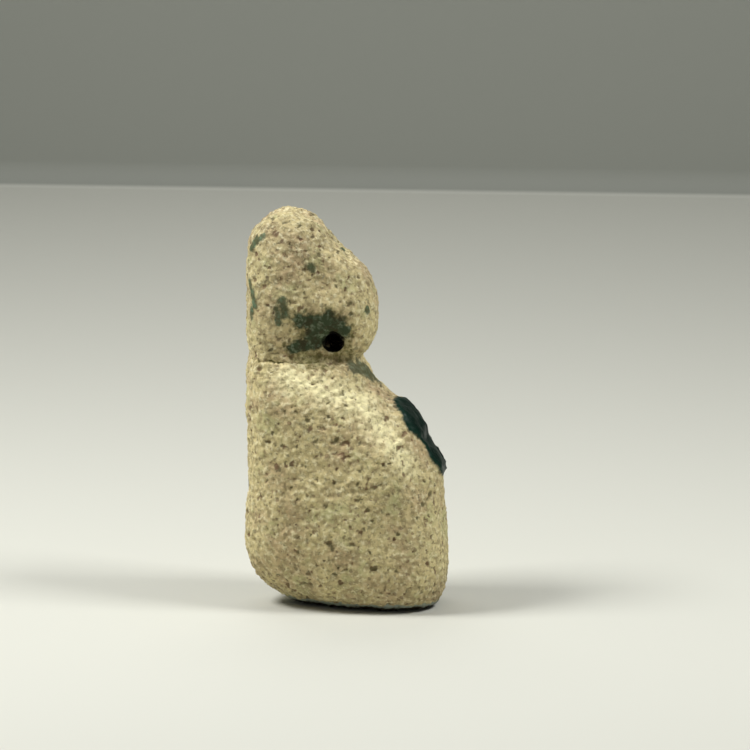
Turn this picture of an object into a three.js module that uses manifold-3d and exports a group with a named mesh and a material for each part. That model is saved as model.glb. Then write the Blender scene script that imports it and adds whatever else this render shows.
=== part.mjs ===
// A small seated cat of Egyptian faience: one fired lump, worn almost smooth, pierced through the neck for a cord.
// Millimetres, +Z up. The cat faces +X and stands on z = 0, with the origin under the middle of its box.
import * as THREE from "three";
import { mergeVertices } from "three/addons/utils/BufferGeometryUtils.js";
import Module from "manifold-3d";

// Driving sizes
const height = 20; // sole to the worn ear tips
const depth = 10.2; // straight back to the forelegs
const breadth = 6.9; // flank to flank
const holeDiameter = 0.9; // cord hole, side to side through the neck
const glazeThickness = 0.3; // the thick glaze left on the breast

// How finely the skin is faceted
const columns = 66; // facets round the body
const ringsBetweenStations = 2; // rings from one station of the outline to the next
const capRings = 3; // rings from the middle of the sole, or of the crown, out to its edge
const holeFacets = 20;
const weldDistance = 1e-3; // points closer than this are one

// The figure's outline at a rising series of heights. Every value is a share: z of the height, back and front of
// the depth, half of the breadth. Square rounds a section off (2 is an ellipse, 4 is nearly a box), and taper makes
// it wider towards the front, or narrower when it is negative.
const stations = [
  { z: 0.0, back: -0.2, front: 0.4, half: 0.21, square: 2.2, taper: 0.4 },
  { z: 0.007, back: -0.27, front: 0.438, half: 0.28, square: 2.2, taper: 0.38 },
  { z: 0.028, back: -0.35, front: 0.47, half: 0.356, square: 2.3, taper: 0.32 },
  { z: 0.06, back: -0.426, front: 0.49, half: 0.415, square: 2.5, taper: 0.22 },
  { z: 0.105, back: -0.484, front: 0.496, half: 0.455, square: 2.7, taper: 0.14 },
  { z: 0.165, back: -0.518, front: 0.488, half: 0.478, square: 2.9, taper: 0.09 },
  { z: 0.24, back: -0.503, front: 0.472, half: 0.484, square: 3.0, taper: 0.07 },
  { z: 0.305, back: -0.485, front: 0.462, half: 0.484, square: 3.1, taper: 0.06 },
  { z: 0.345, back: -0.486, front: 0.46, half: 0.482, square: 3.2, taper: 0.05 },
  { z: 0.385, back: -0.488, front: 0.42, half: 0.48, square: 3.3, taper: 0.03 },
  { z: 0.43, back: -0.492, front: 0.368, half: 0.478, square: 3.3, taper: 0.0 },
  { z: 0.475, back: -0.494, front: 0.314, half: 0.474, square: 3.2, taper: -0.04 },
  { z: 0.52, back: -0.495, front: 0.23, half: 0.462, square: 3.1, taper: -0.07 },
  { z: 0.562, back: -0.492, front: 0.14, half: 0.426, square: 3.0, taper: -0.1 },
  { z: 0.6, back: -0.487, front: 0.103, half: 0.36, square: 3.0, taper: -0.12 },
  { z: 0.621, back: -0.479, front: 0.08, half: 0.318, square: 2.9, taper: -0.13 },
  { z: 0.633, back: -0.479, front: 0.084, half: 0.31, square: 2.9, taper: -0.13 },
  { z: 0.648, back: -0.489, front: 0.104, half: 0.334, square: 2.8, taper: -0.13 },
  { z: 0.673, back: -0.495, front: 0.13, half: 0.366, square: 2.8, taper: -0.14 },
  { z: 0.705, back: -0.494, front: 0.147, half: 0.388, square: 2.8, taper: -0.16 },
  { z: 0.745, back: -0.493, front: 0.149, half: 0.398, square: 2.7, taper: -0.18 },
  { z: 0.785, back: -0.491, front: 0.138, half: 0.396, square: 2.6, taper: -0.2 },
  { z: 0.825, back: -0.489, front: 0.112, half: 0.386, square: 2.5, taper: -0.2 },
  { z: 0.86, back: -0.486, front: 0.064, half: 0.37, square: 2.5, taper: -0.16 },
  { z: 0.89, back: -0.483, front: -0.008, half: 0.352, square: 2.5, taper: -0.08 },
  { z: 0.92, back: -0.476, front: -0.072, half: 0.33, square: 2.5, taper: -0.02 },
  { z: 0.947, back: -0.456, front: -0.108, half: 0.302, square: 2.4, taper: 0.0 },
  { z: 0.97, back: -0.424, front: -0.142, half: 0.262, square: 2.3, taper: 0.0 },
  { z: 0.987, back: -0.384, front: -0.202, half: 0.2, square: 2.2, taper: 0.0 },
  { z: 0.997, back: -0.33, front: -0.262, half: 0.11, square: 2.1, taper: 0.0 },
];

// Carving and wear. Each dab raises the skin by lift where it is nearest to its middle and fades out over its reach.
// Middles and reaches are shares like the stations', and lift is a share of the breadth. A dab on a flank is
// made on both flanks, and one at the front lies on the centre line.
const flankDabs = {
  eyeHollow: { x: -0.13, z: 0.82, reachX: 0.11, reachZ: 0.055, lift: -0.05 },
  earRidge: { x: -0.28, z: 0.91, reachX: 0.11, reachZ: 0.05, lift: 0.022 },
  cheek: { x: 0.04, z: 0.77, reachX: 0.12, reachZ: 0.06, lift: 0.024 },
  throatHollow: { x: -0.15, z: 0.668, reachX: 0.2, reachZ: 0.032, lift: -0.062 },
  underTheJaw: { x: -0.14, z: 0.715, reachX: 0.17, reachZ: 0.038, lift: -0.056 },
  beforeTheHole: { x: 0.03, z: 0.636, reachX: 0.14, reachZ: 0.02, lift: -0.035 },
  nape: { x: -0.4, z: 0.64, reachX: 0.13, reachZ: 0.06, lift: 0.08 },
  bevelUnderTheJaw: { x: 0.12, z: 0.56, reachX: 0.16, reachZ: 0.05, lift: -0.06 },
  bevelOfTheBreast: { x: 0.26, z: 0.485, reachX: 0.13, reachZ: 0.055, lift: -0.12 },
  bevelAboveForeleg: { x: 0.38, z: 0.39, reachX: 0.1, reachZ: 0.06, lift: -0.08 },
  haunch: { x: -0.16, z: 0.22, reachX: 0.24, reachZ: 0.14, lift: 0.02 },
  creaseBehindForeleg: { x: 0.21, z: 0.2, reachX: 0.09, reachZ: 0.1, lift: -0.03 },
  foreleg: { x: 0.38, z: 0.2, reachX: 0.1, reachZ: 0.16, lift: 0.014 },
};
const frontDabs = {
  betweenForelegs: { y: 0.0, z: 0.17, reachY: 0.07, reachZ: 0.11, lift: -0.055 },
  wornBrow: { y: 0.0, z: 0.87, reachY: 0.14, reachZ: 0.04, lift: -0.022 },
};
const neck = { z: 0.625, reach: 0.07, tilt: -0.042 }; // the groove round the neck is higher at the back
const crown = 0.006; // how far the top of the head is domed
const earNotch = { reachY: 0.1, depth: 0.028, from: 0.93 }; // the dip between the two worn ears
const glazeLobes = [
  { y: -0.08, z: 0.468, reachY: 0.22, reachZ: 0.058, share: 1.0 },
  { y: 0.14, z: 0.446, reachY: 0.22, reachZ: 0.066, share: 0.85 },
  { y: -0.05, z: 0.386, reachY: 0.21, reachZ: 0.058, share: 0.9 },
  { y: 0.06, z: 0.372, reachY: 0.15, reachZ: 0.03, share: 0.6 },
]; // where the thick glaze is left on the breast
const glazeEdge = 0.66; // share of a lobe's reach where its rim starts to fall
const hole = { x: -0.035, z: 0.686, driftX: 0.05, driftZ: 0.05 }; // middle of the cord hole, and its slant per length
const soleEdge = 0.03; // height up to which the carving fades out, so that the sole stays flat
const waveTwist = 3; // how far a wave turns from one flank to the other, in radians
// The slow unevenness of a hand-shaped lump: how often each wave comes in the depth and in the height, and its lift.
const waves = [
  { across: 1.3, up: 2.1, turn: 0.6, lift: 0.006 },
  { across: -2.1, up: 1.2, turn: 2.1, lift: 0.005 },
  { across: 0.7, up: -3.4, turn: 4.0, lift: 0.0035 },
];

// The stations as curves of one parameter, so that all the values run smoothly and together.
function curveOf(pick) {
  const points = stations.map((s) => new THREE.Vector3(...pick(s)));
  return new THREE.CatmullRomCurve3(points, false, "catmullrom", 0.5);
}
const sideCurve = curveOf((s) => [s.back * depth, s.front * depth, s.z * height]);
const girthCurve = curveOf((s) => [s.half * breadth, s.square, s.taper]);

function fade(distance) {
  return Math.exp(-distance * distance);
}

function signedPower(value, power) {
  return Math.sign(value) * Math.abs(value) ** power;
}

// A smooth step from 0 to 1 as value passes from low to high.
function rise(value, low, high) {
  return THREE.MathUtils.smoothstep(value, low, high);
}

// How far the skin is raised at a point. Side is 1 where it faces a flank, and facing is 1 where it faces forwards.
function liftAt(point, side, facing) {
  const x = point.x / depth;
  const y = point.y / breadth;
  const z = point.z / height;
  let lift = 0;
  for (const dab of Object.values(flankDabs)) {
    lift += side * dab.lift * fade((x - dab.x) / dab.reachX) * fade((z - dab.z) / dab.reachZ);
  }
  for (const dab of Object.values(frontDabs)) {
    lift += facing * dab.lift * fade((y - dab.y) / dab.reachY) * fade((z - dab.z) / dab.reachZ);
  }
  for (const wave of waves) {
    const phase = 2 * Math.PI * (wave.across * x + wave.up * z) + wave.turn + waveTwist * y;
    lift += wave.lift * Math.sin(phase);
  }
  return lift * breadth + glazeAt(y, z, facing);
}

// The thick glaze left on the breast: flat-topped lobes that run into each other and end in a steep rim.
function glazeAt(y, z, facing) {
  let cover = 0;
  for (const lobe of glazeLobes) {
    const distance = Math.hypot((y - lobe.y) / lobe.reachY, (z - lobe.z) / lobe.reachZ);
    cover = Math.max(cover, lobe.share * (1 - rise(distance, glazeEdge, 1)));
  }
  return glazeThickness * cover * facing;
}

// One point of the skin: the section at t along the stations, at an angle round it, spread from its middle by spread.
function skinPoint(t, angle, spread) {
  const side = sideCurve.getPoint(t);
  const girth = girthCurve.getPoint(t);
  const middle = (side.x + side.y) / 2;
  const halfDepth = (side.y - side.x) / 2;
  const power = 2 / girth.y;
  const forward = signedPower(Math.cos(angle), power);
  const sideways = signedPower(Math.sin(angle), power);
  const point = new THREE.Vector3(
    middle + spread * halfDepth * forward,
    spread * girth.x * sideways * (1 + girth.z * forward),
    side.z + t * crown * height * (1 - spread * spread),
  );
  point.z += neck.tilt * point.x * fade((side.z / height - neck.z) / neck.reach);
  const notch = rise(point.z / height, earNotch.from, 1) * fade(point.y / breadth / earNotch.reachY);
  point.z -= earNotch.depth * height * notch;
  if (spread < 1) return point;
  const outward = new THREE.Vector3(
    signedPower(forward, girth.y - 1) / halfDepth,
    signedPower(sideways, girth.y - 1) / girth.x,
    0,
  ).normalize();
  const lift = liftAt(point, outward.y ** 2, Math.max(0, outward.x) ** 2);
  return point.addScaledVector(outward, lift * rise(side.z / height, 0, soleEdge));
}

// The skin as a lathe grid, from the middle of the sole, out, up, and in again to the top of the head.
function skinGeometry() {
  const bodyRings = (stations.length - 1) * ringsBetweenStations;
  const rows = [];
  for (let i = 0; i < capRings; i++) rows.push({ t: 0, spread: i / capRings });
  for (let i = 0; i <= bodyRings; i++) rows.push({ t: i / bodyRings, spread: 1 });
  for (let i = 1; i <= capRings; i++) rows.push({ t: 1, spread: 1 - i / capRings });
  const profile = rows.map((row, i) => new THREE.Vector2(row.spread, i));
  const lathe = new THREE.LatheGeometry(profile, columns);
  const position = lathe.getAttribute("position");
  for (let i = 0; i < position.count; i++) {
    const row = rows[i % rows.length];
    const angle = (2 * Math.PI * Math.floor(i / rows.length)) / columns;
    const point = skinPoint(row.t, angle, row.spread);
    position.setXYZ(i, point.x, point.y, point.z);
  }
  return fitted(lathe);
}

// Dabs, waves and the worn ears leave the skin a little off its sizes, so it is brought to them here.
function fitted(skin) {
  skin.computeBoundingBox();
  const box = skin.boundingBox;
  const size = box.getSize(new THREE.Vector3());
  const middle = box.getCenter(new THREE.Vector3());
  skin.translate(-middle.x, -middle.y, -box.min.z);
  return skin.scale(depth / size.x, breadth / size.y, height / size.z);
}

function solidOf(wasm, geometry) {
  const bare = geometry.clone();
  bare.deleteAttribute("normal");
  bare.deleteAttribute("uv");
  const merged = mergeVertices(bare, weldDistance);
  return new wasm.Manifold(
    new wasm.Mesh({
      numProp: 3,
      vertProperties: merged.getAttribute("position").array,
      triVerts: new Uint32Array(merged.index.array),
    }),
  );
}

function geometryOf(solid) {
  const mesh = solid.getMesh();
  const geometry = new THREE.BufferGeometry();
  geometry.setAttribute("position", new THREE.BufferAttribute(mesh.vertProperties, 3));
  geometry.setIndex(new THREE.BufferAttribute(mesh.triVerts, 1));
  geometry.computeVertexNormals();
  return geometry;
}

const wasm = await Module();
wasm.setup();

// The cord hole slants a little forwards and upwards from the near flank to the far one.
const cordHole = new THREE.CylinderGeometry(holeDiameter / 2, holeDiameter / 2, 2 * breadth, holeFacets);
const holeWay = new THREE.Vector3(hole.driftX, 1, hole.driftZ).normalize();
cordHole.applyQuaternion(new THREE.Quaternion().setFromUnitVectors(new THREE.Vector3(0, 1, 0), holeWay));
cordHole.translate(hole.x * depth, 0, hole.z * height);
const pierced = solidOf(wasm, skinGeometry()).subtract(solidOf(wasm, cordHole));

const faience = new THREE.MeshStandardMaterial({ color: 0xb9ab7f, roughness: 0.92, metalness: 0.0 });
const body = new THREE.Mesh(geometryOf(pierced), faience);
body.name = "amulet_body";

const amulet = new THREE.Group();
amulet.add(body);

export default amulet;
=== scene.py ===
"""A worn amulet of a seated cat in sandy faience, with rests of dark glaze, standing on a pale table.

The solid model gives the form. Its skin is meshed finely here, then pitted, grained, cracked and glazed.
The scene is in metres, in the part's own frame. The skin is shaped in millimetres.
"""

import itertools
import math

import bmesh
import bpy
import numpy as np
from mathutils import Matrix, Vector, noise


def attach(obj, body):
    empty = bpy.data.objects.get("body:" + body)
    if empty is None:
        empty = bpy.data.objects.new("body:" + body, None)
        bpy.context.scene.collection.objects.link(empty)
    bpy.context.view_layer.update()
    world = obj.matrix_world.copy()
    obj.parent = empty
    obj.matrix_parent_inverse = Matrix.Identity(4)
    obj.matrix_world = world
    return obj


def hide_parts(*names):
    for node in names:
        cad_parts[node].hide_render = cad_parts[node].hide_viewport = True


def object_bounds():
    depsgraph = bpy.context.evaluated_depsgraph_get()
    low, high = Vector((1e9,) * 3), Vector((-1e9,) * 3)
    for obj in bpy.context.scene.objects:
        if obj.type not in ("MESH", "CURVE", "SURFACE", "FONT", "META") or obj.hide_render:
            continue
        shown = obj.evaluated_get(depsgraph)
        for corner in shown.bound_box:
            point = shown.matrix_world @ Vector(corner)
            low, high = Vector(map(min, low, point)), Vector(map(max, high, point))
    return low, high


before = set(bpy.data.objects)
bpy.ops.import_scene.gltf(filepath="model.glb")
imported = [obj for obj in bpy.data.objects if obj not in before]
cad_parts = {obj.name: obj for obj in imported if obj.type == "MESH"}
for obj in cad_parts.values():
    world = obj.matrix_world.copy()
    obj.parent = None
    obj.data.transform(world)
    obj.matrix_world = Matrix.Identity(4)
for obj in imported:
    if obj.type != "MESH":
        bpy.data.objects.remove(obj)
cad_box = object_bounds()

bl_info = {
    "name": "Faience Cat Amulet",
    "version": (1, 0, 0),
    "blender": (4, 5, 0),
    "location": "View3D > Sidebar > Amulet",
    "description": "Builds the pitted faience amulet with its rests of glaze, and the table it stands on",
    "category": "Add Mesh",
}

MM = 0.001  # metres in a millimetre
PHOTO_WIDTH = 750  # pixels

# Where the skin is marked. Every point is in millimetres in the part's frame: x forwards, y to the far
# flank, z up. A stroke runs from one point to another and has a radius.
THROAT_GLAZE = [
    ((-1.92, -2.48, 14.78), (-0.09, -2.23, 14.61), 0.40),
    ((-0.61, -2.43, 15.16), (-0.79, -2.36, 14.85), 0.26),
    ((-1.13, -2.25, 14.41), (-1.47, -2.15, 13.97), 0.46),
    ((-2.46, -2.23, 13.35), (-0.99, -2.00, 13.67), 0.32),
    ((-0.88, -2.12, 14.06), (0.06, -2.12, 14.26), 0.42),
]
HEAD_GLAZE = [
    ((-2.89, -2.79, 15.76), (-2.75, -2.73, 15.14), 0.27),
    ((-3.14, -2.77, 15.40), (-3.08, -2.67, 14.68), 0.17),
    ((-4.59, -1.87, 16.57), (-4.41, -2.15, 15.88), 0.23),
    ((-4.41, -2.15, 15.88), (-4.30, -2.27, 15.44), 0.25),
    ((-4.45, -2.08, 15.24), (-4.52, -1.98, 14.89), 0.20),
    ((-4.52, -1.66, 18.29), (-4.22, -1.84, 18.69), 0.25),
    ((-4.22, -1.84, 18.69), (-3.92, -1.95, 18.92), 0.20),
    ((-1.52, -2.26, 17.43), (-1.47, -2.25, 17.34), 0.20),
    ((1.23, -1.36, 15.23), (1.20, -1.42, 15.16), 0.18),
    ((-0.19, -0.42, 18.07), (-0.14, -0.05, 18.02), 0.12),
]
CHIN_GLAZE = [
    ((0.50, -1.46, 12.33), (1.25, -0.62, 11.71), 0.36),
    ((0.86, -0.94, 12.34), (1.49, 0.35, 11.32), 0.36),
]
FAR_GLAZE = [
    ((-2.01, 2.48, 14.65), (-0.43, 2.16, 14.23), 0.42),
    ((-0.57, 2.13, 14.14), (0.12, 1.90, 13.59), 0.36),
    ((-2.41, 2.80, 15.45), (-2.42, 2.74, 15.05), 0.22),
    ((1.45, 2.97, 9.14), (1.68, 3.07, 8.69), 0.26),
    ((-3.61, 2.82, 3.33), (-3.27, 3.00, 3.33), 0.22),
    ((-4.91, 0.71, 11.45), (-4.92, 0.30, 11.10), 0.30),
    ((-4.75, -1.30, 6.31), (-4.80, -1.07, 6.11), 0.18),
    ((-3.60, 0.10, 19.55), (-3.00, 0.20, 19.35), 0.22),
]
STAINS = [
    ((0.06, -1.58, 13.05), (0.42, -2.02, 14.28), 0.36),
    ((-2.10, -2.12, 12.92), (-0.43, -1.67, 12.88), 0.30),
    ((-0.43, -1.67, 12.88), (0.28, -1.34, 12.84), 0.34),
    ((-1.60, -2.25, 12.45), (-0.60, -2.05, 12.40), 0.22),
    ((-2.28, 2.22, 12.77), (0.47, 1.32, 12.90), 0.22),
]
GROOVE = [  # the cleft under the head, from the flank round the throat: point, depth there
    ((-2.55, -2.27, 12.72), 0.02),
    ((-1.39, -1.99, 12.70), 0.10),
    ((-0.31, -1.62, 12.70), 0.20),
    ((0.49, -1.20, 12.73), 0.20),
    ((0.85, -0.84, 12.79), 0.10),
    ((0.89, 0.62, 12.75), 0.08),
    ((0.38, 1.31, 12.66), 0.16),
    ((-0.64, 1.90, 12.57), 0.16),
    ((-2.68, 2.37, 12.79), 0.02),
]
CRACK = [
    (-4.60, -1.40, 12.72),
    (-4.50, -1.90, 12.74),
    (-4.28, -2.22, 12.70),
    (-3.97, -2.41, 12.70),
    (-3.27, -2.52, 12.66),
    (-2.55, -2.32, 12.68),
    (-1.82, -2.18, 12.62),
    (-1.09, -1.96, 12.68),
]
NAMED_PITS = [  # point, radius, depth
    ((2.22, -3.20, 7.75), 0.17, 0.13),
    ((2.48, -3.10, 7.82), 0.11, 0.09),
    ((-2.11, -3.30, 5.91), 0.14, 0.11),
    ((-2.11, -3.30, 5.76), 0.12, 0.10),
    ((-0.30, -3.36, 6.83), 0.12, 0.09),
    ((0.39, -3.39, 6.60), 0.14, 0.09),
    ((-3.38, -3.10, 9.19), 0.13, 0.09),
    ((0.68, -2.80, 10.22), 0.14, 0.09),
    ((-2.42, -3.24, 6.45), 0.11, 0.08),
    ((1.63, -3.25, 4.97), 0.15, 0.10),
    ((2.71, -3.06, 3.94), 0.19, 0.11),
    ((2.92, -3.05, 4.18), 0.13, 0.08),
    ((1.54, -3.28, 3.30), 0.15, 0.10),
    ((-0.12, -3.28, 2.51), 0.16, 0.12),
    ((1.73, -3.23, 2.48), 0.20, 0.14),
    ((1.95, -2.83, 0.88), 0.14, 0.10),
    ((4.14, -2.39, 6.78), 0.15, 0.10),
]
# Outline of the thick glaze on the breast, across (y) and up (z): down the near side, then up the far side.
BREAST_GLAZE = [
    (-0.85, 10.57),
    (-1.37, 10.31),
    (-1.54, 10.04),
    (-1.78, 9.74),
    (-1.86, 9.35),
    (-1.79, 9.09),
    (-1.58, 8.85),
    (-1.47, 8.53),
    (-1.45, 8.23),
    (-1.52, 7.84),
    (-1.45, 7.53),
    (-1.28, 7.24),
    (-1.00, 6.98),
    (-0.50, 6.72),
    (0.40, 6.85),
    (1.20, 7.10),
    (1.30, 7.70),
    (1.25, 8.10),
    (1.90, 8.30),
    (2.30, 8.90),
    (2.10, 9.50),
    (1.50, 10.00),
    (0.90, 10.35),
    (0.10, 10.50),
]
SHOULDER_LIGHT = [  # the shoulders, where light is painted onto the core to make it lightest
    ((-2.76, -2.83, 11.93), (-1.00, -2.78, 11.40), 1.0),
    ((-1.00, -2.78, 11.40), (0.94, -2.35, 10.71), 1.3),
    ((0.94, -2.35, 10.71), (2.20, -2.50, 9.20), 1.3),
    ((2.20, -2.50, 9.20), (3.30, -2.70, 7.60), 0.9),
    ((-2.50, 2.83, 11.80), (0.80, 2.40, 10.80), 1.1),
    ((0.80, 2.40, 10.80), (2.60, 2.60, 8.80), 1.1),
]
# The lobes that the solid has under that glaze: middle and reach across (y) and up (z), and share of height.
BREAST_LOBES = [
    (-0.55, 9.36, 1.52, 1.16, 1.0),
    (0.97, 8.92, 1.52, 1.32, 0.85),
    (-0.35, 7.72, 1.45, 1.16, 0.9),
    (0.41, 7.44, 1.04, 0.60, 0.6),
]
LOBE_EDGE = 0.66  # share of a lobe's reach where its rim starts to fall
CORD_HOLE = ((-0.36, 0.0, 13.72), (0.05, 1.0, 0.05), 0.45)  # a point on its axis, its way, its radius
GROOVE_RADIUS = 0.26  # how far the cleft under the head reaches from its line
MOUTH_REACH = 0.26  # how far the worn mouths of the cord hole reach from its rim
MOUTH_DEPTH = 0.09
STAIN_DEPTH = 0.03  # how far the stained hollows are sunk
WAIST_HEIGHT = 8.5  # where the flake on the breast is thinnest
WAIST_REACH = 0.35


def length(name, description, default):
    return bpy.props.FloatProperty(
        name=name, description=description, default=default, precision=6, unit="LENGTH"
    )


class AmuletForm(bpy.types.PropertyGroup):
    """Sizes of what is worked into the skin."""

    mesh_step: length("Mesh step", "Edge length of the fine skin", 0.000086)
    softening: bpy.props.IntProperty(
        name="Softening", description="How often the skin is smoothed before it is pitted", default=9, min=0
    )
    pit_spacing: length("Pit spacing", "Mean distance between pits", 0.00052)
    pit_radius: length("Pit radius", "Radius of the widest pits", 0.00021)
    pit_depth: length("Pit depth", "Depth of the widest pits", 0.00010)
    grain_height: length("Grain height", "Height of the sandy grain", 0.000022)
    lump_height: length("Lump height", "Height of the slow lumps of the worn skin", 0.000022)
    glaze_thickness: length("Glaze thickness", "Thickness of the glaze left on the breast", 0.0003)
    film_thickness: length("Film thickness", "Thickness of the thin rests of glaze", 0.00004)
    crack_depth: length("Crack depth", "Depth of the crack along the neck", 0.00010)


def colour(name, description, default):
    return bpy.props.FloatVectorProperty(
        name=name, description=description, default=default, subtype="COLOR", size=3, min=0.0, max=1.0
    )


class AmuletColours(bpy.types.PropertyGroup):
    """Colours of the core, its dirt and its glaze, and of the light and shade painted on it, in linear light."""

    sand: colour("Sand", "The sandy core", (0.66, 0.560, 0.285))
    # The pale sand is light painted on the shoulders.
    pale: colour("Pale sand", "Light painted on the shoulders", (0.98, 0.90, 0.52))
    warm: colour("Warm sand", "Pinkish patches of the core", (0.55, 0.42, 0.23))
    green: colour("Green sand", "Greenish patches of the core", (0.51, 0.50, 0.24))
    shade: colour("Shaded sand", "Dull spots between the grains", (0.37, 0.30, 0.15))
    grain: colour("Light grain", "Single light grains of quartz", (0.90, 0.83, 0.52))
    pit_brown: colour("Brown pit", "Floor of a brown pit", (0.170, 0.095, 0.050))
    pit_olive: colour("Olive pit", "Floor of an olive pit", (0.150, 0.130, 0.060))
    # This colour multiplies in painted shade on the head and crown, and darkens the foot.
    head_shade_foot_dark: colour("Head shade and foot", "How much light the painted shade on the head and the dark foot lets through", (0.79, 0.79, 0.80))
    stain: colour("Stain", "Brown dirt in the hollows", (0.132, 0.118, 0.032))
    # The cord hole's bore and mouth are painted this near black.
    bore_black: colour("Bore black", "Near black painted in the cord hole", (0.004, 0.0035, 0.002))
    glaze: colour("Glaze", "Thick blue-green glaze", (0.004, 0.015, 0.010))
    glaze_light: colour("Light glaze", "Thin edge of the thick glaze", (0.007, 0.032, 0.020))
    film: colour("Film", "Thin grey-green glaze", (0.040, 0.058, 0.024))
    film_light: colour("Light film", "Flecks in the thin glaze", (0.150, 0.185, 0.115))
    # The dark film also paints shade over the underside of the sole.
    film_dark_and_sole_shade: colour("Dark film", "Dull olive parts of the thin glaze", (0.036, 0.028, 0.007))
    film_worn: colour("Worn film", "Worn thin glaze below the throat", (0.085, 0.088, 0.042))
    teal: colour("Teal film", "Thin glaze on the head", (0.070, 0.155, 0.092))
    rim: colour("Rim", "Pale glaze along the edge of the sole", (0.270, 0.350, 0.320))


class AmuletStage(bpy.types.PropertyGroup):
    """The table, its lights and the camera."""

    table: colour("Table", "The pale table top", (0.600, 0.600, 0.531))
    wall: colour("Wall", "The greyer wall behind the table", (0.31, 0.32, 0.28))
    wall_distance: bpy.props.FloatProperty(
        name="Wall distance", description="From the amulet back to the wall", default=0.15, unit="LENGTH"
    )
    sweep_radius: bpy.props.FloatProperty(
        name="Sweep radius", description="Radius of the curve from the table up to the wall", default=0.002,
        unit="LENGTH",
    )
    azimuth: bpy.props.FloatProperty(
        name="Azimuth", description="Turn of the camera towards the cat's front", default=math.radians(6),
        subtype="ANGLE",
    )
    elevation: bpy.props.FloatProperty(
        name="Elevation", description="Height angle of the camera", default=math.radians(10), subtype="ANGLE"
    )
    distance: bpy.props.FloatProperty(
        name="Distance", description="From the camera to the middle of the amulet", default=0.26, unit="LENGTH"
    )
    scale: bpy.props.FloatProperty(
        name="Picture scale", description="Pixels of the picture to a millimetre of the amulet", default=19.924
    )
    middle_x: bpy.props.FloatProperty(
        name="Middle across", description="Picture column of the amulet's middle, in pixels", default=346.23
    )
    middle_y: bpy.props.FloatProperty(
        name="Middle down", description="Picture row of the amulet's middle, in pixels", default=407.48
    )
    left_light: bpy.props.FloatProperty(
        name="Left light", description="Power of the light over the cat's back", default=0.126, subtype="POWER"
    )
    right_light: bpy.props.FloatProperty(
        name="Right light", description="Power of the light over the cat's front", default=0.084, subtype="POWER"
    )
    far_light: bpy.props.FloatProperty(
        name="Far light", description="Power of the soft light behind the cat", default=0.062, subtype="POWER"
    )
    sky: bpy.props.FloatProperty(name="Room light", description="Strength of the even light", default=0.14)


def smooth_step(low, high, value):
    share = np.clip((value - low) / (high - low), 0.0, 1.0)
    return share * share * (3.0 - 2.0 * share)


def stroke_distance(points, stroke):
    """Distance from each point to a stroke's line, as a share of the stroke's radius."""
    start, end, radius = np.array(stroke[0]), np.array(stroke[1]), stroke[2]
    way = end - start
    along = np.clip(((points - start) @ way) / (way @ way), 0.0, 1.0)
    return np.linalg.norm(points - start - along[:, None] * way, axis=1) / radius


def strokes_cover(points, strokes):
    """1 on the middle line of a stroke, 0 at its edge and below 0 outside."""
    return 1.0 - np.min([stroke_distance(points, stroke) for stroke in strokes], axis=0)


def depth_inside(points, outline):
    """How far each flat point lies inside a closed outline. Below 0 outside."""
    gone = np.full(len(points), np.inf)
    inside = np.zeros(len(points), bool)
    for start, end in zip(outline, outline[1:] + outline[:1]):
        gone = np.minimum(gone, stroke_distance(points, (start, end, 1.0)))
        level = points[:, 1]
        crossed_at = start[0] + (level - start[1]) * (end[0] - start[0]) / (end[1] - start[1])
        inside ^= ((start[1] > level) != (end[1] > level)) & (points[:, 0] < crossed_at)
    return np.where(inside, gone, -gone)


def clouds(points, size, octaves, shift):
    """Cloudy noise with blobs of that size in millimetres, of mean 0 and spread 1."""
    moved = points / size + shift
    values = np.array([noise.fractal(Vector(p), 0.8, 2.1, octaves) for p in moved])
    return (values - values.mean()) / values.std()


def cell_randoms(cells, salt):
    """Five fixed random numbers from 0 to 1 for each whole-numbered cell."""
    x, y, z = (cells[:, i].astype(np.uint64) for i in range(3))
    seed = x * np.uint64(73856093) ^ y * np.uint64(19349663) ^ z * np.uint64(83492791) ^ np.uint64(salt)
    drawn = []
    for _ in range(5):
        seed ^= seed >> np.uint64(33)
        seed *= np.uint64(0xFF51AFD7ED558CCD)
        seed ^= seed >> np.uint64(29)
        drawn.append((seed >> np.uint64(40)).astype(float) / 2.0**24)
    return np.stack(drawn, axis=1)


def scattered_pits(points, spacing, radius, share, salt):
    """How deep each point lies in scattered round pits of mixed sizes, from 0 to 1."""
    home = np.floor(points / spacing).astype(np.int64)
    depth = np.zeros(len(points))
    for step in itertools.product((-1, 0, 1), repeat=3):
        cell = home + np.array(step)
        drawn = cell_randoms(cell, salt)
        size = radius * (0.45 + 0.55 * drawn[:, 3] ** 2)
        gone = np.linalg.norm(points - (cell + drawn[:, :3]) * spacing, axis=1)
        hollow = (1.0 - smooth_step(0.25, 1.0, gone / size)) * size / radius
        depth = np.maximum(depth, np.where(drawn[:, 4] < share, hollow, 0.0))
    return depth


def fine_skin(form):
    """A fine even mesh of the solid's skin, in millimetres."""
    shape = bmesh.new()
    shape.from_mesh(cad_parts["amulet_body"].data)
    bmesh.ops.scale(shape, vec=(1 / MM,) * 3, verts=shape.verts)
    bmesh.ops.remove_doubles(shape, verts=shape.verts, dist=0.001)
    mesh = bpy.data.meshes.new("amulet_skin")
    shape.to_mesh(mesh)
    shape.free()
    rough = bpy.data.objects.new("amulet_rough", mesh)
    bpy.context.scene.collection.objects.link(rough)
    remesh = rough.modifiers.new("Even mesh", "REMESH")
    remesh.mode = "VOXEL"
    remesh.voxel_size = form.mesh_step / MM
    evaluated = rough.evaluated_get(bpy.context.evaluated_depsgraph_get())
    skin = bmesh.new()
    skin.from_mesh(evaluated.to_mesh())
    evaluated.to_mesh_clear()
    bpy.data.objects.remove(rough)
    bpy.data.meshes.remove(mesh)
    for _ in range(form.softening):
        bmesh.ops.smooth_vert(
            skin, verts=skin.verts, factor=0.5, use_axis_x=True, use_axis_y=True, use_axis_z=True
        )
    return skin


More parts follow.
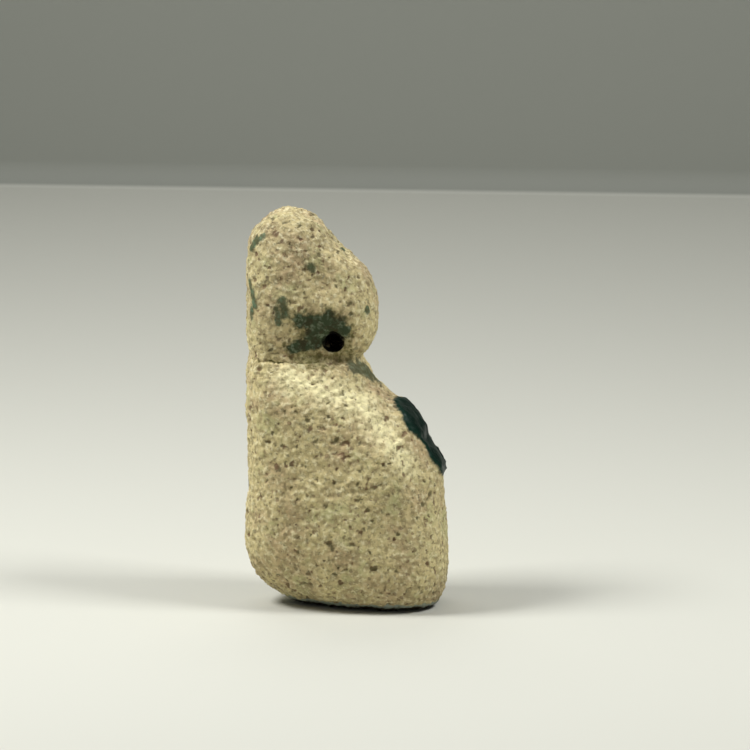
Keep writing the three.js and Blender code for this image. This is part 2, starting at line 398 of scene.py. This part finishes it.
def skin_marks(points, normals):
    """Everything that marks the skin, as named numbers for each point."""
    blot = 0.3 * clouds(points, 0.35, 3, 11.0)
    facing = np.clip(normals[:, 0], 0.0, 1.0) ** 2
    breast = np.zeros(len(points))
    for across, up, reach_across, reach_up, share in BREAST_LOBES:
        gone = np.hypot((points[:, 1] - across) / reach_across, (points[:, 2] - up) / reach_up)
        breast = np.maximum(breast, share * (1.0 - smooth_step(LOBE_EDGE, 1.0, gone)))
    on_front = smooth_step(0.05, 0.45, normals[:, 0])
    axis_point, way, radius = (np.array(part) for part in CORD_HOLE)
    way = way / np.linalg.norm(way)
    from_axis = np.linalg.norm(np.cross(points - axis_point, way), axis=1)
    wavy = points + np.outer(0.05 * clouds(points, 0.45, 3, 31.0), (0.0, 0.0, 1.0))
    crack = np.min([stroke_distance(wavy, (a, b, 1.0)) for a, b in zip(CRACK, CRACK[1:])], axis=0)
    under = smooth_step(0.30, 0.62, -normals[:, 2])
    glazed = depth_inside(points[:, 1:], BREAST_GLAZE) + 0.05 * blot
    height = points[:, 2] + 0.5 * blot
    # Painted shade darkens the head and, more, the crown; the foot is darker towards the bottom.
    head_shade_foot_dark = 0.35 * smooth_step(13.4, 15.0, height) + 0.6 * smooth_step(17.6, 19.2, height)  # head, then crown
    head_shade_foot_dark = np.maximum(head_shade_foot_dark, 0.5 * (1.0 - smooth_step(0.5, 3.0, height)))  # foot
    return {
        "breast_solid": breast * facing,
        "thick_glaze": np.clip(0.44 + 0.6 * glazed, 0.0, 1.0) * on_front,
        # Light painted on the shoulders.
        "pale": np.clip(strokes_cover(points, SHOULDER_LIGHT) + 0.3 * blot, 0.0, 1.0),
        "head_shade_foot_dark": head_shade_foot_dark,
        "throat_glaze": strokes_cover(points, THROAT_GLAZE) + 0.45 * blot,
        "film_glaze": strokes_cover(points, CHIN_GLAZE + FAR_GLAZE) + 0.2 * blot,
        "teal_glaze": strokes_cover(points, HEAD_GLAZE) + 0.55 * blot,
        "stain": strokes_cover(points, STAINS) + 0.5 * blot,
        "from_bore": from_axis - radius + 0.05 * clouds(points, 0.6, 2, 53.0),
        "crack": crack,
        "rim": under * (1.0 - smooth_step(0.34, 0.50, points[:, 2] + 0.12 * blot)),
        # The underside of the sole gets painted shade.
        "sole": under * (1.0 - smooth_step(0.16, 0.32, points[:, 2] + 0.12 * blot)),
    }


def sculpt(skin, form):
    """Pits, grains, crack and glaze worked into the fine skin. Returns the marks for the finish."""
    skin.normal_update()
    points = np.array([v.co for v in skin.verts], float)
    normals = np.array([v.normal for v in skin.verts], float)
    marks = skin_marks(points, normals)
    thick = smooth_step(0.36, 0.52, marks["thick_glaze"])
    throat = smooth_step(-0.05, 0.20, marks["throat_glaze"])
    film = smooth_step(-0.05, 0.20, np.maximum(marks["film_glaze"], marks["teal_glaze"]))
    bare = (1.0 - thick) * (1.0 - throat) * (1.0 - film)

    warp = np.stack([clouds(points, 0.3, 2, shift) for shift in (3.0, 17.0, 41.0)], axis=1)
    warped = points + 0.045 * warp
    richness = 0.35 * clouds(points, 2.0, 2, 5.0) - 0.8
    pits = 0.6 * smooth_step(0.0, 1.6, clouds(points, 0.32, 2, 13.0) + richness)
    pits = np.maximum(pits, scattered_pits(warped, form.pit_spacing / MM, form.pit_radius / MM, 0.5, 7))
    depth = pits * form.pit_depth / MM
    for place, radius, deep in NAMED_PITS:
        gone = np.linalg.norm(warped - np.array(place), axis=1) / radius
        hollow = 1.0 - smooth_step(0.2, 1.0, gone)
        depth = np.maximum(depth, deep * hollow)
        pits = np.maximum(pits, hollow)
    marks["pit"] = pits * bare

    grain = clouds(points, 0.26, 3, 23.0) * form.grain_height / MM
    lumps = clouds(points, 0.9, 2, 29.0) * form.lump_height / MM
    cleft = (1.0 - smooth_step(0.02, 0.10, marks["crack"])) * form.crack_depth / MM
    for (start, deep), (end, end_deep) in zip(GROOVE, GROOVE[1:]):
        gone = stroke_distance(points, (start, end, GROOVE_RADIUS))
        cleft = np.maximum(cleft, 0.5 * (deep + end_deep) * np.exp(-gone * gone))
    mouth = 1.0 - smooth_step(0.0, MOUTH_REACH, marks["from_bore"] + 0.04 * clouds(points, 0.4, 2, 47.0))
    cleft += MOUTH_DEPTH * mouth * (np.abs(normals[:, 1]) > 0.5)
    thickness = form.glaze_thickness / MM
    ripple = 0.3 * clouds(points, 1.0, 1, 37.0)
    # The flake is thinner between its two lobes.
    waist = 1.0 - 0.6 * np.exp(-(((points[:, 2] - WAIST_HEIGHT) / WAIST_REACH) ** 2))
    flake = thick * np.clip(normals[:, 0], 0.0, 1.0) * (1.0 + 0.3 * ripple) * waist
    flake = thickness * (flake - marks["breast_solid"])
    lift = (grain - depth) * bare + lumps - cleft + flake
    lift += (film + throat) * form.film_thickness / MM * (0.6 + 0.8 * ripple)
    lift -= STAIN_DEPTH * smooth_step(-0.2, 0.5, marks["stain"]) * bare
    lift *= smooth_step(0.0, 0.12, points[:, 2])  # the sole stays flat
    points += normals * lift[:, None]
    low, high = (np.array(corner) / MM for corner in cad_box)
    points = np.clip(points, low, high)
    for vertex, place in zip(skin.verts, points):
        vertex.co = place
    return marks


def add_marks(mesh, marks):
    for name, values in marks.items():
        attribute = mesh.attributes.new(name, "FLOAT", "POINT")
        attribute.data.foreach_set("value", np.asarray(values, np.float32))


def node(tree, kind, settings=None, inputs=None):
    """A new shader node. An input is a plain value or the output that feeds it."""
    made = tree.nodes.new(kind)
    for name, value in (settings or {}).items():
        setattr(made, name, value)
    for key, value in (inputs or {}).items():
        if isinstance(value, bpy.types.NodeSocket):
            tree.links.new(value, made.inputs[key])
        else:
            made.inputs[key].default_value = value
    return made


def maths(tree, operation, a, b=0.0):
    return node(tree, "ShaderNodeMath", {"operation": operation}, {0: a, 1: b}).outputs[0]


def step_up(tree, value, low, high):
    """0 below low, 1 above high, smooth between. Low may be above high, which turns it round."""
    settings = {"interpolation_type": "SMOOTHSTEP"}
    inputs = {"Value": value, "From Min": low, "From Max": high, "To Min": 0.0, "To Max": 1.0}
    if low > high:
        inputs.update({"From Min": high, "From Max": low, "To Min": 1.0, "To Max": 0.0})
    return node(tree, "ShaderNodeMapRange", settings, inputs).outputs["Result"]


def blend(tree, share, a, b, way="MIX"):
    """Colour a turning to colour b by share."""
    mixed = node(tree, "ShaderNodeMix", {"data_type": "RGBA", "blend_type": way}, {0: share})
    for key, value in ((6, a), (7, b)):
        if isinstance(value, bpy.types.NodeSocket):
            tree.links.new(value, mixed.inputs[key])
        else:
            mixed.inputs[key].default_value = (*value, 1.0)
    return mixed.outputs[2]


def blend_value(tree, share, a, b):
    return node(tree, "ShaderNodeMix", {"data_type": "FLOAT"}, {0: share, 2: a, 3: b}).outputs[0]


def speckle(tree, place, size, detail=2.0, roughness=0.5):
    """Noise from 0 to 1 with blobs of that size in millimetres."""
    inputs = {"Vector": place, "Scale": 1.0 / size, "Detail": detail, "Roughness": roughness}
    return node(tree, "ShaderNodeTexNoise", {"normalize": True}, inputs).outputs["Fac"]


def pinholes(tree, place, size):
    """Round holes of mixed widths about that far apart in millimetres, 1 in their middle."""
    cell = node(tree, "ShaderNodeTexVoronoi", None, {"Vector": place, "Scale": 1.0 / size})
    drawn = node(tree, "ShaderNodeSeparateColor", None, {"Color": cell.outputs["Color"]}).outputs[0]
    radius = maths(tree, "MULTIPLY", maths(tree, "SUBTRACT", drawn, 0.25), 0.55)
    uneven = maths(tree, "MULTIPLY", maths(tree, "SUBTRACT", speckle(tree, place, 0.13, 2.0), 0.5), 0.9)
    gone = maths(tree, "ADD", cell.outputs["Distance"], uneven)
    return step_up(tree, maths(tree, "SUBTRACT", radius, gone), -0.06, 0.20)


def mark(tree, name):
    return node(tree, "ShaderNodeAttribute", {"attribute_name": name}).outputs["Fac"]


def group_frame(name, inputs, outputs):
    """An empty shader node group with named sockets. Returns the group, its inputs and its outputs."""
    group = bpy.data.node_groups.new(name, "ShaderNodeTree")
    for label, kind in inputs:
        group.interface.new_socket(label, in_out="INPUT", socket_type=kind)
    for label, kind in outputs:
        group.interface.new_socket(label, in_out="OUTPUT", socket_type=kind)
    return group, group.nodes.new("NodeGroupInput").outputs, group.nodes.new("NodeGroupOutput").inputs


def core_group(colours):
    """The sandy core: its mottled colour with light painted on the shoulders, fine pits and light grains, and
    their height in millimetres.
    """
    group, given, put = group_frame(
        "Sandy Core",
        [("Place", "NodeSocketVector"), ("Pit", "NodeSocketFloat"), ("Pale", "NodeSocketFloat")],
        [("Color", "NodeSocketColor"), ("Height", "NodeSocketFloat")],
    )
    place = given["Place"]
    patches = step_up(group, speckle(group, place, 1.9, 3.0), 0.42, 0.66)
    base = blend(group, patches, colours.sand, colours.warm)
    green = step_up(group, speckle(group, place, 1.3, 3.0, 0.6), 0.50, 0.70)
    base = blend(group, maths(group, "MULTIPLY", green, 0.7), base, colours.green)
    # Light painted on the shoulders, with fewer dull mottles there.
    base = blend(group, given["Pale"], base, colours.pale)
    mottle = step_up(group, speckle(group, place, 0.33, 2.0, 0.6), 0.58, 0.34)
    dulled = maths(group, "SUBTRACT", 0.85, maths(group, "MULTIPLY", given["Pale"], 0.3))
    base = blend(group, maths(group, "MULTIPLY", mottle, dulled), base, colours.shade)
    sparkle = speckle(group, place, 0.22, 2.0, 0.55)
    light = step_up(group, sparkle, 0.48, 0.72)
    base = blend(group, maths(group, "MULTIPLY", light, 0.6), base, colours.grain)
    pores = speckle(group, place, 0.20, 2.0, 0.5)
    hollow = maths(group, "MULTIPLY", step_up(group, pores, 0.54, 0.74), 0.45)
    holes = maths(group, "MULTIPLY", pinholes(group, place, 0.31), 0.6)
    pit_tone = step_up(group, speckle(group, place, 0.5, 2.0), 0.42, 0.58)
    pit_colour = blend(group, pit_tone, colours.pit_brown, colours.pit_olive)
    uneven = maths(group, "MULTIPLY", maths(group, "SUBTRACT", pores, 0.5), 0.6)
    pit = maths(group, "ADD", given["Pit"], uneven)
    deep = maths(group, "MULTIPLY", step_up(group, pit, 0.12, 0.60), 0.85)
    all_pits = maths(group, "MAXIMUM", maths(group, "MAXIMUM", hollow, holes), deep)
    group.links.new(blend(group, all_pits, base, pit_colour), put["Color"])
    fine = maths(group, "MULTIPLY", sparkle, 0.06)
    sunk = maths(group, "MULTIPLY", maths(group, "MAXIMUM", hollow, holes), 0.045)
    height = maths(group, "SUBTRACT", fine, sunk)
    group.links.new(height, put["Height"])
    return group


def edge_mask(tree, field, ragged, low, high):
    """1 where a glaze lies, with a ragged edge."""
    return step_up(tree, maths(tree, "ADD", field, ragged), low, high)


def make_faience(colours):
    """The finish of the whole amulet: sandy core, dirt, painted light and shade, thin films of glaze and the
    thick glaze on the breast.
    """
    material = bpy.data.materials.new("faience")
    material.use_nodes = True
    tree = material.node_tree
    tree.nodes.clear()
    coordinates = node(tree, "ShaderNodeTexCoord").outputs["Object"]
    place = node(tree, "ShaderNodeMapping", None, {"Vector": coordinates, "Scale": (1 / MM,) * 3}).outputs[0]

    given = {"Place": place, "Pit": mark(tree, "pit"), "Pale": mark(tree, "pale")}
    core = node(tree, "ShaderNodeGroup", {"node_tree": core_group(colours)}, given)
    # Painted shade on the head and crown; the foot darker towards the bottom.
    surface = blend(tree, mark(tree, "head_shade_foot_dark"), core.outputs["Color"], colours.head_shade_foot_dark, "MULTIPLY")
    ragged = maths(tree, "MULTIPLY", maths(tree, "SUBTRACT", speckle(tree, place, 0.20, 3.0, 0.6), 0.5), 2.0)

    dirt = maths(tree, "MULTIPLY", step_up(tree, speckle(tree, place, 0.24, 3.0, 0.6), 0.40, 0.62), 0.55)
    dirt = maths(tree, "ADD", dirt, 0.32)
    halo = maths(tree, "MULTIPLY", edge_mask(tree, mark(tree, "throat_glaze"), ragged, -0.95, -0.20), 0.9)
    stain = maths(tree, "MAXIMUM", edge_mask(tree, mark(tree, "stain"), ragged, -0.40, 0.50), halo)
    surface = blend(tree, maths(tree, "MULTIPLY", stain, dirt), surface, colours.stain)
    # Painted shade: a dark line in the stain's colour along the crack, whose shade the mesh is too coarse to
    # show.
    from_crack = maths(tree, "ADD", mark(tree, "crack"), maths(tree, "MULTIPLY", ragged, 0.06))
    crack_shade_line = step_up(tree, from_crack, 0.075, 0.02)
    surface = blend(tree, maths(tree, "MULTIPLY", crack_shade_line, 0.9), surface, colours.stain)
    rim = maths(tree, "MULTIPLY", edge_mask(tree, mark(tree, "rim"), ragged, 0.35, 0.8), 0.75)
    surface = blend(tree, rim, surface, colours.rim)
    # Painted shade on the underside of the sole, in the dark film's colour.
    surface = blend(tree, mark(tree, "sole"), surface, colours.film_dark_and_sole_shade)

    flecks = step_up(tree, speckle(tree, place, 0.24, 3.0, 0.6), 0.46, 0.66)
    frayed = maths(tree, "MULTIPLY", ragged, 0.6)
    film = edge_mask(tree, mark(tree, "film_glaze"), frayed, -0.30, 0.42)
    throat = edge_mask(tree, mark(tree, "throat_glaze"), frayed, -0.34, 0.34)
    teal = edge_mask(tree, mark(tree, "teal_glaze"), frayed, -0.34, 0.50)
    thick = edge_mask(tree, mark(tree, "thick_glaze"), maths(tree, "MULTIPLY", ragged, 0.05), 0.39, 0.47)
    inner = step_up(tree, mark(tree, "thick_glaze"), 0.42, 0.62)
    dull = maths(tree, "MULTIPLY", step_up(tree, speckle(tree, place, 0.55, 3.0, 0.6), 0.46, 0.62), 0.80)
    film_colour = blend(tree, dull, blend(tree, flecks, colours.film, colours.film_light), colours.film_dark_and_sole_shade)
    teal_colour = blend(tree, flecks, colours.film, colours.teal)
    surface = blend(tree, maths(tree, "MULTIPLY", teal, 0.85), surface, teal_colour)
    worn = blend(tree, flecks, colours.film_worn, colours.film_light)
    worn = blend(tree, maths(tree, "MULTIPLY", dull, 0.6), worn, colours.film)
    surface = blend(tree, maths(tree, "MULTIPLY", film, 0.92), surface, worn)
    surface = blend(tree, throat, surface, film_colour)
    surface = blend(tree, thick, surface, blend(tree, inner, colours.glaze_light, colours.glaze))
    # The cord hole's bore and mouth are painted near black, with little gleam.
    from_bore = maths(tree, "ADD", mark(tree, "from_bore"), maths(tree, "MULTIPLY", ragged, 0.10))
    bore_dark = step_up(tree, from_bore, 0.11, 0.0)
    surface = blend(tree, bore_dark, surface, colours.bore_black)

    films = maths(tree, "MAXIMUM", maths(tree, "MAXIMUM", film, throat), teal)
    rough = blend_value(tree, films, 0.93, 0.62)
    rough = blend_value(tree, thick, rough, blend_value(tree, flecks, 0.36, 0.50))
    covered = maths(tree, "MAXIMUM", films, thick)
    uncovered = maths(tree, "SUBTRACT", 1.0, maths(tree, "MULTIPLY", covered, 0.8))
    height = maths(tree, "MULTIPLY", core.outputs["Height"], uncovered)
    glaze_height = maths(tree, "MULTIPLY", thick, maths(tree, "MULTIPLY", flecks, 0.012))
    height = maths(tree, "ADD", height, glaze_height)
    bump = node(tree, "ShaderNodeBump", None, {"Strength": 1.0, "Distance": MM, "Height": height})

    gleam = blend_value(tree, thick, blend_value(tree, films, 0.4, 0.18), 0.10)
    shader = node(tree, "ShaderNodeBsdfPrincipled", None, {
        "Base Color": surface,
        "Roughness": rough,
        "Specular IOR Level": blend_value(tree, bore_dark, gleam, 0.05),
        "Normal": bump.outputs["Normal"],
    })
    out = node(tree, "ShaderNodeOutputMaterial")
    tree.links.new(shader.outputs[0], out.inputs["Surface"])
    return material


class AMULET_OT_body(bpy.types.Operator):
    """Builds the amulet's body from the solid, with its pits, glaze and finish"""

    bl_idname = "amulet.body"
    bl_label = "Amulet body"

    def execute(self, context):
        form = context.scene.amulet_form
        skin = fine_skin(form)
        marks = sculpt(skin, form)
        for face in skin.faces:
            face.smooth = True
        bmesh.ops.scale(skin, vec=(MM,) * 3, verts=skin.verts)
        mesh = bpy.data.meshes.new("faience_cat")
        skin.to_mesh(mesh)
        skin.free()
        add_marks(mesh, marks)
        mesh.materials.append(make_faience(context.scene.amulet_colours))
        body = bpy.data.objects.new("faience_cat", mesh)
        context.scene.collection.objects.link(body)
        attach(body, "root")
        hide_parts("amulet_body")
        return {"FINISHED"}


def make_table(stage):
    """A pale table top that curves up into a wall behind the amulet."""
    half, front = 0.9, 0.45
    shape = bmesh.new()
    start = shape.verts.new((-half, -front, 0.0))
    bend = shape.verts.new((-half, stage.wall_distance - stage.sweep_radius, 0.0))
    shape.edges.new((start, bend))
    turned = bmesh.ops.spin(
        shape, geom=[bend], cent=(-half, bend.co.y, stage.sweep_radius), axis=(1, 0, 0),
        angle=math.pi / 2, steps=24, use_merge=False,
    )
    last = [part for part in turned["geom_last"] if isinstance(part, bmesh.types.BMVert)][0]
    top = shape.verts.new((last.co.x, last.co.y, 0.7))
    shape.edges.new((last, top))
    drawn = bmesh.ops.extrude_edge_only(shape, edges=shape.edges[:])
    moved = [part for part in drawn["geom"] if isinstance(part, bmesh.types.BMVert)]
    bmesh.ops.translate(shape, vec=(2 * half, 0, 0), verts=moved)
    bmesh.ops.remove_doubles(shape, verts=shape.verts, dist=1e-6)
    bmesh.ops.recalc_face_normals(shape, faces=shape.faces)
    for face in shape.faces:
        face.smooth = True
    mesh = bpy.data.meshes.new("table")
    shape.to_mesh(mesh)
    shape.free()
    material = bpy.data.materials.new("table")
    material.use_nodes = True
    tree = material.node_tree
    coordinates = node(tree, "ShaderNodeTexCoord").outputs["Object"]
    place = node(tree, "ShaderNodeSeparateXYZ", None, {"Vector": coordinates}).outputs
    all_wall = 0.15 * stage.sweep_radius  # the height from which the sweep has the wall's colour
    on_wall = step_up(tree, place["Z"], 0.0, all_wall)
    shader = tree.nodes["Principled BSDF"]
    tree.links.new(blend(tree, on_wall, stage.table, stage.wall), shader.inputs["Base Color"])
    shader.inputs["Roughness"].default_value = 0.85
    mesh.materials.append(material)
    table = bpy.data.objects.new("table", mesh)
    bpy.context.scene.collection.objects.link(table)


def add_light(name, place, aim, size, power):
    lamp = bpy.data.lights.new(name, "AREA")
    lamp.shape = "SQUARE"
    lamp.size = size
    lamp.energy = power
    light = bpy.data.objects.new(name, lamp)
    light.location = place
    light.rotation_euler = (Vector(aim) - Vector(place)).to_track_quat("-Z", "Y").to_euler()
    bpy.context.scene.collection.objects.link(light)


def add_camera(stage):
    """The camera at the photograph's angle, framed so that the amulet's middle falls where it does there."""
    a, e = stage.azimuth, stage.elevation
    back = Vector((math.sin(a) * math.cos(e), -math.cos(a) * math.cos(e), math.sin(e)))
    right = Vector((math.cos(a), math.sin(a), 0.0))
    up = back.cross(right)
    middle = (cad_box[0] + cad_box[1]) / 2
    aside = (PHOTO_WIDTH / 2 - stage.middle_x) / stage.scale * MM
    above = (stage.middle_y - PHOTO_WIDTH / 2) / stage.scale * MM
    lens = bpy.data.cameras.new("camera")
    lens.sensor_width = 36.0
    lens.lens = stage.scale / MM * stage.distance * lens.sensor_width / PHOTO_WIDTH
    lens.clip_start = 0.01
    camera = bpy.data.objects.new("camera", lens)
    camera.location = middle + back * stage.distance + right * aside + up * above
    camera.rotation_euler = (-back).to_track_quat("-Z", "Y").to_euler()
    bpy.context.scene.collection.objects.link(camera)
    bpy.context.scene.camera = camera


class AMULET_OT_stage(bpy.types.Operator):
    """Makes the pale table, the soft lights and the camera"""

    bl_idname = "amulet.stage"
    bl_label = "Table, lights and camera"

    def execute(self, context):
        stage = context.scene.amulet_stage
        make_table(stage)
        add_camera(stage)
        middle = (0.0, 0.0, 0.008)
        side_size = 0.035
        add_light("left_light", (-0.067, -0.020, 0.103), middle, side_size, stage.left_light)
        add_light("right_light", (0.069, -0.020, 0.101), middle, side_size, stage.right_light)
        table_behind = (0.0, 0.05, 0.0)
        far_size = 0.10
        add_light("far_light", (-0.03, 0.09, 0.13), table_behind, far_size, stage.far_light)
        world = bpy.data.worlds.new("room")
        world.use_nodes = True
        world.node_tree.nodes["Background"].inputs["Color"].default_value = (0.95, 0.97, 1.0, 1.0)
        world.node_tree.nodes["Background"].inputs["Strength"].default_value = stage.sky
        context.scene.world = world
        context.scene.view_settings.view_transform = "Standard"
        return {"FINISHED"}


class AMULET_PT_panel(bpy.types.Panel):
    """Lists the amulet's pieces and their settings"""

    bl_idname = "AMULET_PT_panel"
    bl_label = "Faience cat amulet"
    bl_space_type = "VIEW_3D"
    bl_region_type = "UI"
    bl_category = "Amulet"

    def draw(self, context):
        buttons = {"amulet_form": "amulet.body", "amulet_colours": None, "amulet_stage": "amulet.stage"}
        for group, button in buttons.items():
            box = self.layout.box()
            settings = getattr(context.scene, group)
            for name in settings.__annotations__:
                box.prop(settings, name)
            if button:
                box.operator(button)


PROPERTY_GROUPS = {"amulet_form": AmuletForm, "amulet_colours": AmuletColours, "amulet_stage": AmuletStage}
CLASSES = (*PROPERTY_GROUPS.values(), AMULET_OT_body, AMULET_OT_stage, AMULET_PT_panel)


def register():
    for made in CLASSES:
        bpy.utils.register_class(made)
    for name, group in PROPERTY_GROUPS.items():
        setattr(bpy.types.Scene, name, bpy.props.PointerProperty(type=group))


def unregister():
    for name in PROPERTY_GROUPS:
        delattr(bpy.types.Scene, name)
    for made in reversed(CLASSES):
        bpy.utils.unregister_class(made)


def main():
    register()
    bpy.ops.amulet.stage()
    bpy.ops.amulet.body()


if __name__ == "__main__":
    main()
